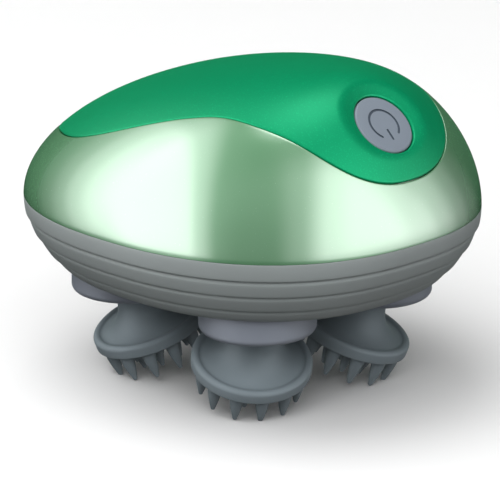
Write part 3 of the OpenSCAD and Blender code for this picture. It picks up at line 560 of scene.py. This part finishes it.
def shell_piece():
    t = turns(320)
    e = inlay_edge(t)
    lip, low_s = 0.2, 0.99997
    arc = np.radians(np.linspace(0, 90, 6))
    rings = []
    # Lip at the seam, the outside, the lip and ledge at the inlay, then the inside
    for a in arc:
        d = lip * (1 - math.sin(a))
        x, y = oval(HALF_X - d, HALF_Y - d, SEAM_POWER, t)
        z = SEAM_Z + lip * (1 - math.cos(a))
        rings.append(np.stack([x, y, np.full_like(x, z)], -1))
    edge = e + lip / HALF_X
    for v in np.linspace(0, 1, 56)[1:]:
        rings.append(dome(low_s - (low_s - edge) * v ** 1.5, t))
    for a in arc[1:]:
        rings.append(dome(e + lip * (1 - math.sin(a)) / HALF_X, t, lip * (1 - math.cos(a))))
    rings += [dome(e, t, LEDGE_D), dome(e - LEDGE_REACH, t, LEDGE_D),
              dome(e - LEDGE_REACH, t, LEDGE_D + LEDGE_T)]
    for k in (0.1, 0.3, 0.5, 0.7, 0.85, 0.95, 1.0):
        rings.append(dome(e + (1 - e) * k, t, SHELL_WALL))
    verts, faces = loft(rings, loop=True)
    piece("shell_skin", verts, faces, "housing", ["top_shell"], [green_metal])


# ---- Inlay with its thumb dish and button well ----

def inlay_piece():
    count = 384
    phi = turns(count)
    cos, sin = np.cos(phi), np.sin(phi)
    well_lip, edge_lip, blend_h, dish_reach = 0.4, 0.5, 0.9, 15.2
    well_foot = from_button(np.stack([WELL_R * cos, WELL_R * sin, np.full(count, PAD_LOW)], -1))
    pad_foot = from_button(np.stack([PAD_R * cos, PAD_R * sin, np.full(count, PAD_LOW)], -1))

    def dish_ring(r, drop=0.0):
        """Ring round the button, on the dish or the dome, whichever is lower."""
        top = dome_over_button(r * cos, r * sin)
        low = np.full(count, dish_z(r))
        h = np.clip(0.5 + 0.5 * (low - top) / blend_h, 0, 1)
        z = low * (1 - h) + top * h - blend_h * h * (1 - h)
        return from_button(np.stack([r * cos, r * sin, z - drop], -1))

    rings = [well_foot]
    for a in np.radians(np.linspace(90, 0, 5)):
        rings.append(dish_ring(WELL_R + well_lip * (1 - math.sin(a)),
                               well_lip * (1 - math.cos(a))))
    for r in np.linspace(WELL_R + well_lip, dish_reach, 22)[1:]:
        rings.append(dish_ring(r))
    start = rings[-1]
    # Boundary of the inlay, found along each ray from the button
    tt = turns(6000)
    margin = INLAY_GAP / HALF_X
    edge_s = edge_lip / HALF_X
    outline = dome(inlay_edge(tt) - margin - edge_s, tt)
    centre = start.mean(0)
    full = 2 * np.pi
    ray = np.unwrap(np.arctan2(start[:, 1] - centre[1], start[:, 0] - centre[0]))
    around = np.unwrap(np.arctan2(outline[:, 1] - centre[1], outline[:, 0] - centre[0]))
    ray += np.round((around[0] - ray[0]) / full) * full
    t = np.interp(ray, np.concatenate([around - full, around, around + full]),
                  np.concatenate([tt - full, tt, tt + full]))
    e = inlay_edge(t) - margin
    end = dome(e - edge_s, t)
    rows = []
    for w in (np.linspace(0, 1, 60)[1:]) ** 1.25:
        xy = start[:, :2] * (1 - w) + end[:, :2] * w
        s = dome_share(xy[:, 0], xy[:, 1])
        rows.append((s, dome_turn(xy[:, 0], xy[:, 1], s)))
    rings += [dome(s, turn) for s, turn in rows]
    # Rounded edge, then the underside with every seventh row and the button's pad
    for a in np.radians(np.linspace(0, 90, 6))[1:]:
        rings.append(dome(e - edge_s * (1 - math.sin(a)), t, edge_lip * (1 - math.cos(a))))
    rings.append(dome(e, t, INLAY_T))
    rings += [dome(s, turn, INLAY_T) for s, turn in rows[-8::-7]]
    rings.append(pad_foot)
    verts, faces = loft(rings, loop=True)
    piece("inlay_skin", verts, faces, "housing", ["top_inlay"], [inlay_green])


# ---- Base bowl ----

def base_outline():
    """The base's outside, as heights below the seam and depths inside the widest outline."""
    lip, band_round, foot_round, band_from, groove = 0.2, 0.6, 1.6, 1.2, 0.45
    # Flank of a groove: how far below its top, and the share of its depth there
    flank = [(0.04, 1.0), (0.3, 0.85), (0.6, 0.5), (0.95, 0.12)]
    arc = np.linspace(0, math.pi / 2, 7)
    line = [(lip * (1 - math.cos(a)), lip * (1 - math.sin(a))) for a in arc]
    for band in range(BANDS):
        d, top = band * STEP, band * BAND_SHARE * BOWL_H
        if band == BANDS - 1:
            low, corner, rows = BOWL_H, foot_round, 4
        else:
            low, corner, rows = top + BAND_SHARE * BOWL_H, band_round, 6
        if band:
            line += [(top + h, d + groove * share) for h, share in flank]
        line += [(h, d) for h in np.linspace(top + band_from, low - corner, rows)]
        line += [(low - corner * (1 - math.sin(a)), d + corner * (1 - math.cos(a)))
                 for a in arc[1:]]
    return line


def cut_slot(obj, name, half, radius, x0, x1):
    """Cuts a slot with round ends into the tail, at the height of the charging inlet."""
    a = np.linspace(-math.pi / 2, math.pi / 2, 17)
    loop = [(half + radius * math.cos(v), radius * math.sin(v)) for v in a]
    loop += [(-half - radius * math.cos(v), -radius * math.sin(v)) for v in a]
    n = len(loop)
    verts, faces = loft([np.array([(x, y, PORT_Z + z) for y, z in loop]) for x in (x0, x1)])
    faces += [tuple(range(n)), tuple(range(2 * n - 1, n - 1, -1))]
    mesh = bpy.data.meshes.new(name)
    mesh.from_pydata((verts * MM).tolist(), [], faces)
    bm = bmesh.new()
    bm.from_mesh(mesh)
    bmesh.ops.recalc_face_normals(bm, faces=bm.faces)
    bm.to_mesh(mesh)
    bm.free()
    cutter = bpy.data.objects.new(name, mesh)
    bpy.context.scene.collection.objects.link(cutter)
    mod = obj.modifiers.new(name, "BOOLEAN")
    mod.operation = "DIFFERENCE"
    mod.solver = "EXACT"
    mod.object = cutter
    with bpy.context.temp_override(object=obj, active_object=obj):
        bpy.ops.object.modifier_apply(modifier=name)
    bpy.data.objects.remove(cutter)


def base_piece():
    t = turns(320)
    outside = [bowl(h, d, t) for h, d in base_outline()]
    inside = [bowl(0, SHELL_WALL + 0.1, t), bowl(0.6, BASE_WALL, t)]
    inside += [bowl(h, BASE_WALL, t) for h in (4, 8, 12, 15)]
    inside += [bowl(SEAM_Z - FLOOR_Z, BASE_WALL + 1.5, t)]
    parts = [loft(inside[::-1] + outside)]
    # Underside with its wells and screw recesses, and the posts on the floor inside
    under_holes, floor_holes = [], []
    for sx, sy, _ in CORNERS.values():
        well, boss, bore, pad = (circle(r, 96, sx * PITCH_X / 2, sy * PITCH_Y / 2)
                                 for r in (TURN_WELL_R, BOSS_R, BUSH_R, TURN_PAD_R))
        well_z = BOTTOM_Z + TURN_SINK
        under_holes.append(well)
        floor_holes.append(pad)
        parts += [tube(well, BOTTOM_Z, well_z), ring_face(well, boss, well_z),
                  tube(boss, well_z, BOSS_Z), ring_face(boss, bore, BOSS_Z),
                  tube(bore, BOSS_Z, PAD_Z), ring_face(pad, bore, PAD_Z),
                  tube(pad, PAD_Z, FLOOR_Z)]
    for x, y in CASE_SPOTS:
        head, hole, post = (circle(r, 40, x, y) for r in (CASE_HEAD_R, CASE_HOLE_R, CASE_POST_R))
        seat_z = BOTTOM_Z + CASE_SINK
        under_holes.append(head)
        floor_holes.append(post)
        parts += [tube(head, BOTTOM_Z, seat_z), ring_face(head, hole, seat_z),
                  tube(hole, seat_z, SEAM_Z), ring_face(post, hole, SEAM_Z),
                  tube(post, SEAM_Z, FLOOR_Z)]
    for x, y in CHASSIS_SPOTS:
        post, hole = (circle(r, 40, x, y) for r in (CHASSIS_POST_R, CHASSIS_HOLE_R))
        floor_holes.append(post)
        parts += [tube(post, FLOOR_Z, CHASSIS_TOP), ring_face(post, hole, CHASSIS_TOP),
                  tube(hole, CHASSIS_TOP, CHASSIS_LOW), flat(hole, [], CHASSIS_LOW)]
    parts += [flat(outside[-1], under_holes, BOTTOM_Z), flat(inside[-1], floor_holes, FLOOR_Z)]
    verts, faces, _ = joined(parts)
    obj = piece("base_skin", verts, faces, "housing", ["base_shell"], [base_grey])
    # Recess and hole of the charging inlet, each cut through from outside the wall
    cut_slot(obj, "recess", (COVER_W - COVER_H) / 2, COVER_H / 2, -66, PORT_X)
    cut_slot(obj, "inlet", INLET_HALF, INLET_R, -61, -54)
    obj.data.set_sharp_from_angle(angle=math.radians(SHARP))


# ---- Button with its engraved power sign ----

def rounded_bar(x0, x1, half):
    a = np.linspace(-math.pi / 2, math.pi / 2, 9)
    far = [(x1 - half + half * math.cos(v), half * math.sin(v)) for v in a]
    near = [(x0 + half - half * math.cos(v), -half * math.sin(v)) for v in a]
    return np.array(far + near)


def power_arc(r, half, gap):
    """Outline of an open ring with round ends."""
    a = np.linspace(gap, 2 * math.pi - gap, 61)
    cap = np.linspace(0, math.pi, 7)[1:-1]
    outer = [((r + half) * math.cos(v), (r + half) * math.sin(v)) for v in a]
    inner = [((r - half) * math.cos(v), (r - half) * math.sin(v)) for v in a[::-1]]

    def end(v, turn):
        out = np.array([math.cos(v), math.sin(v)])
        on = np.array([-math.sin(v), math.cos(v)]) * turn
        return [tuple(r * out + half * (out * math.cos(k) + on * math.sin(k))) for k in cap]

    return np.array(outer + end(a[-1], 1) + inner + end(a[0], -1)[::-1])


def button_piece():
    count = 120
    flat_r = BUTTON_R - BUTTON_ROUND
    profile = [(0, STEM_LOW), (STEM_R, STEM_LOW), (STEM_R, FLANGE_LOW), (FLANGE_R, FLANGE_LOW),
               (FLANGE_R, FLANGE_TOP), (BUTTON_R, FLANGE_TOP)]
    profile += [(flat_r + BUTTON_ROUND * math.cos(a),
                 BUTTON_FACE - BUTTON_ROUND + BUTTON_ROUND * math.sin(a))
                for a in np.linspace(0, math.pi / 2, 9)]
    signs = [power_arc(SIGN_R, SIGN_HALF, SIGN_GAP), rounded_bar(BAR_FROM, BAR_TO, SIGN_HALF)]
    parts = [lathe(profile, count), flat(circle(flat_r, count), signs, BUTTON_FACE)]
    marks = [0, 0]
    sign_z = BUTTON_FACE - SIGN_CUT
    for sign in signs:
        parts += [tube(sign, BUTTON_FACE, sign_z), flat(sign, [], sign_z)]
        marks += [1, 1]
    verts, faces, tags = joined(parts)
    piece("button_cap", from_button(verts), faces, "power_button",
          ["power_button"], [button_grey, icon_grey], [marks[k] for k in tags])


# ---- Turntables and claws ----

def place_on_turntable(verts, corner):
    """Turns points about the head's axis and moves them to its corner."""
    sx, sy, lean = CORNERS[corner]
    a = math.atan2(-sy * PITCH_Y, -sx * PITCH_X) + math.radians(lean)
    c, s = math.cos(a), math.sin(a)
    v = np.asarray(verts)
    return np.column_stack([v[:, 0] * c - v[:, 1] * s + sx * PITCH_X / 2,
                            v[:, 0] * s + v[:, 1] * c + sy * PITCH_Y / 2, v[:, 2]])


def turntable_piece(corner):
    edge, wall, plate, top_round, skirt, flat_in = 1.8, 1.9, 3.0, 0.3, 3.0, 4.0
    plate_z = CLEAR_Z + plate
    profile = [(0, CLEAR_Z), (TURN_R - edge - flat_in, CLEAR_Z)]
    profile += [(TURN_R - edge + edge * math.cos(a), CLEAR_Z + edge + edge * math.sin(a))
                for a in np.linspace(-math.pi / 2, 0, 12)]
    profile += [(TURN_R, TURN_TOP - skirt), (TURN_R, TURN_TOP - top_round),
                (TURN_R - top_round, TURN_TOP), (TURN_R - wall, TURN_TOP),
                (TURN_R - wall, plate_z), (HUB_R, plate_z), (HUB_R, HUB_TOP),
                (PIN_R, HUB_TOP), (PIN_R, PIN_LOW), (0, PIN_LOW)]
    verts, faces = lathe(profile, 144)
    piece("turntable_cup_" + corner, place_on_turntable(verts, corner), faces,
          "massage_head_" + corner, ["turntable_" + corner], [turn_grey])


def claw_cup(count):
    """Rim, flare and neck of a claw about its own axis, up to the turntable's underside."""
    rim_mid = UNDER - RIM_T + RIM_ROUND
    bead_end = math.radians(150)
    flare_r = CLAW_R - RIM_ROUND + RIM_ROUND * math.cos(bead_end)
    flare_0, flare_1 = PIVOT_Z - CLEAR_Z + 0.8, rim_mid - RIM_ROUND * math.sin(bead_end)
    # Foot, side and rounded top of the rim, then the flare up to the neck
    profile = [(0, -UNDER)]
    profile += [(CLAW_R - RIM_FOOT + RIM_FOOT * math.cos(a),
                 RIM_FOOT - UNDER + RIM_FOOT * math.sin(a))
                for a in np.linspace(-math.pi / 2, 0, 6)]
    profile += [(CLAW_R - RIM_ROUND + RIM_ROUND * math.cos(a), RIM_ROUND * math.sin(a) - rim_mid)
                for a in np.linspace(0, bead_end, 18)]
    profile += [(flare_r - (flare_r - NECK_R) * math.cos(a),
                 -flare_0 - (flare_1 - flare_0) * math.sin(a))
                for a in np.radians(np.linspace(84, 0, 30))]
    verts, faces = lathe(profile, count)
    # The neck ends in the plane of the turntable's underside
    top = verts[-count:].copy()
    top[:, 2] = (CLEAR_Z + 0.02 - PIVOT_Z - top[:, 0] * math.sin(CLAW_TILT)) / math.cos(CLAW_TILT)
    n = len(verts)
    verts = np.concatenate([verts, top, [[0, 0, (CLEAR_Z - PIVOT_Z) / math.cos(CLAW_TILT)]]])
    for j in range(count):
        m = (j + 1) % count
        faces.append((n - count + j, n - count + m, n + m, n + j))
        faces.append((n + j, n + m, n + count))
    return verts, faces


def claw_piece(corner):
    parts = [claw_cup(132)]
    # Bristles, with a fillet at the root and a round tip
    fillet = 0.7
    shaft = BRISTLE_L - fillet - TIP_R
    bristle = [(ROOT_R + fillet * (1 - math.sin(a)), -UNDER - fillet * (1 - math.cos(a)))
               for a in np.linspace(0, math.pi / 2, 5)]
    bristle += [(TIP_R + (ROOT_R - TIP_R) * (1 - f ** 1.6), -UNDER - fillet - shaft * f)
                for f in (0.2, 0.4, 0.6, 0.8, 1.0)]
    bristle += [(TIP_R * math.cos(a), TIP_R - TIP_REACH - TIP_R * math.sin(a))
                for a in np.radians([18, 36, 54, 72])]
    bristle += [(0, -TIP_REACH)]
    bv, bf = lathe(bristle, 28)
    spots = [(180 + 360 / OUTER_COUNT * k, OUTER_RING) for k in range(OUTER_COUNT)]
    spots += [(360 / INNER_COUNT * (k + 0.5), INNER_RING) for k in range(INNER_COUNT)]
    for angle, reach in spots + [(0, 0)]:
        a = math.radians(angle)
        parts.append((bv + [reach * math.cos(a), reach * math.sin(a), 0], bf))
    verts, faces, _ = joined(parts)
    # Lean, then stand on the tips
    c, s = math.cos(CLAW_TILT), math.sin(CLAW_TILT)
    leant = np.column_stack([verts[:, 0] * c - verts[:, 2] * s, verts[:, 1],
                             verts[:, 0] * s + verts[:, 2] * c + PIVOT_Z])
    leant[:, 2] = np.maximum(leant[:, 2], 0)
    piece("claw_skin_" + corner, place_on_turntable(leant, corner), faces,
          "massage_head_" + corner, ["claw_" + corner], [claw_grey], sharp=60)


shell_piece()
inlay_piece()
base_piece()
button_piece()
for corner in CORNERS:
    turntable_piece(corner)
    claw_piece(corner)
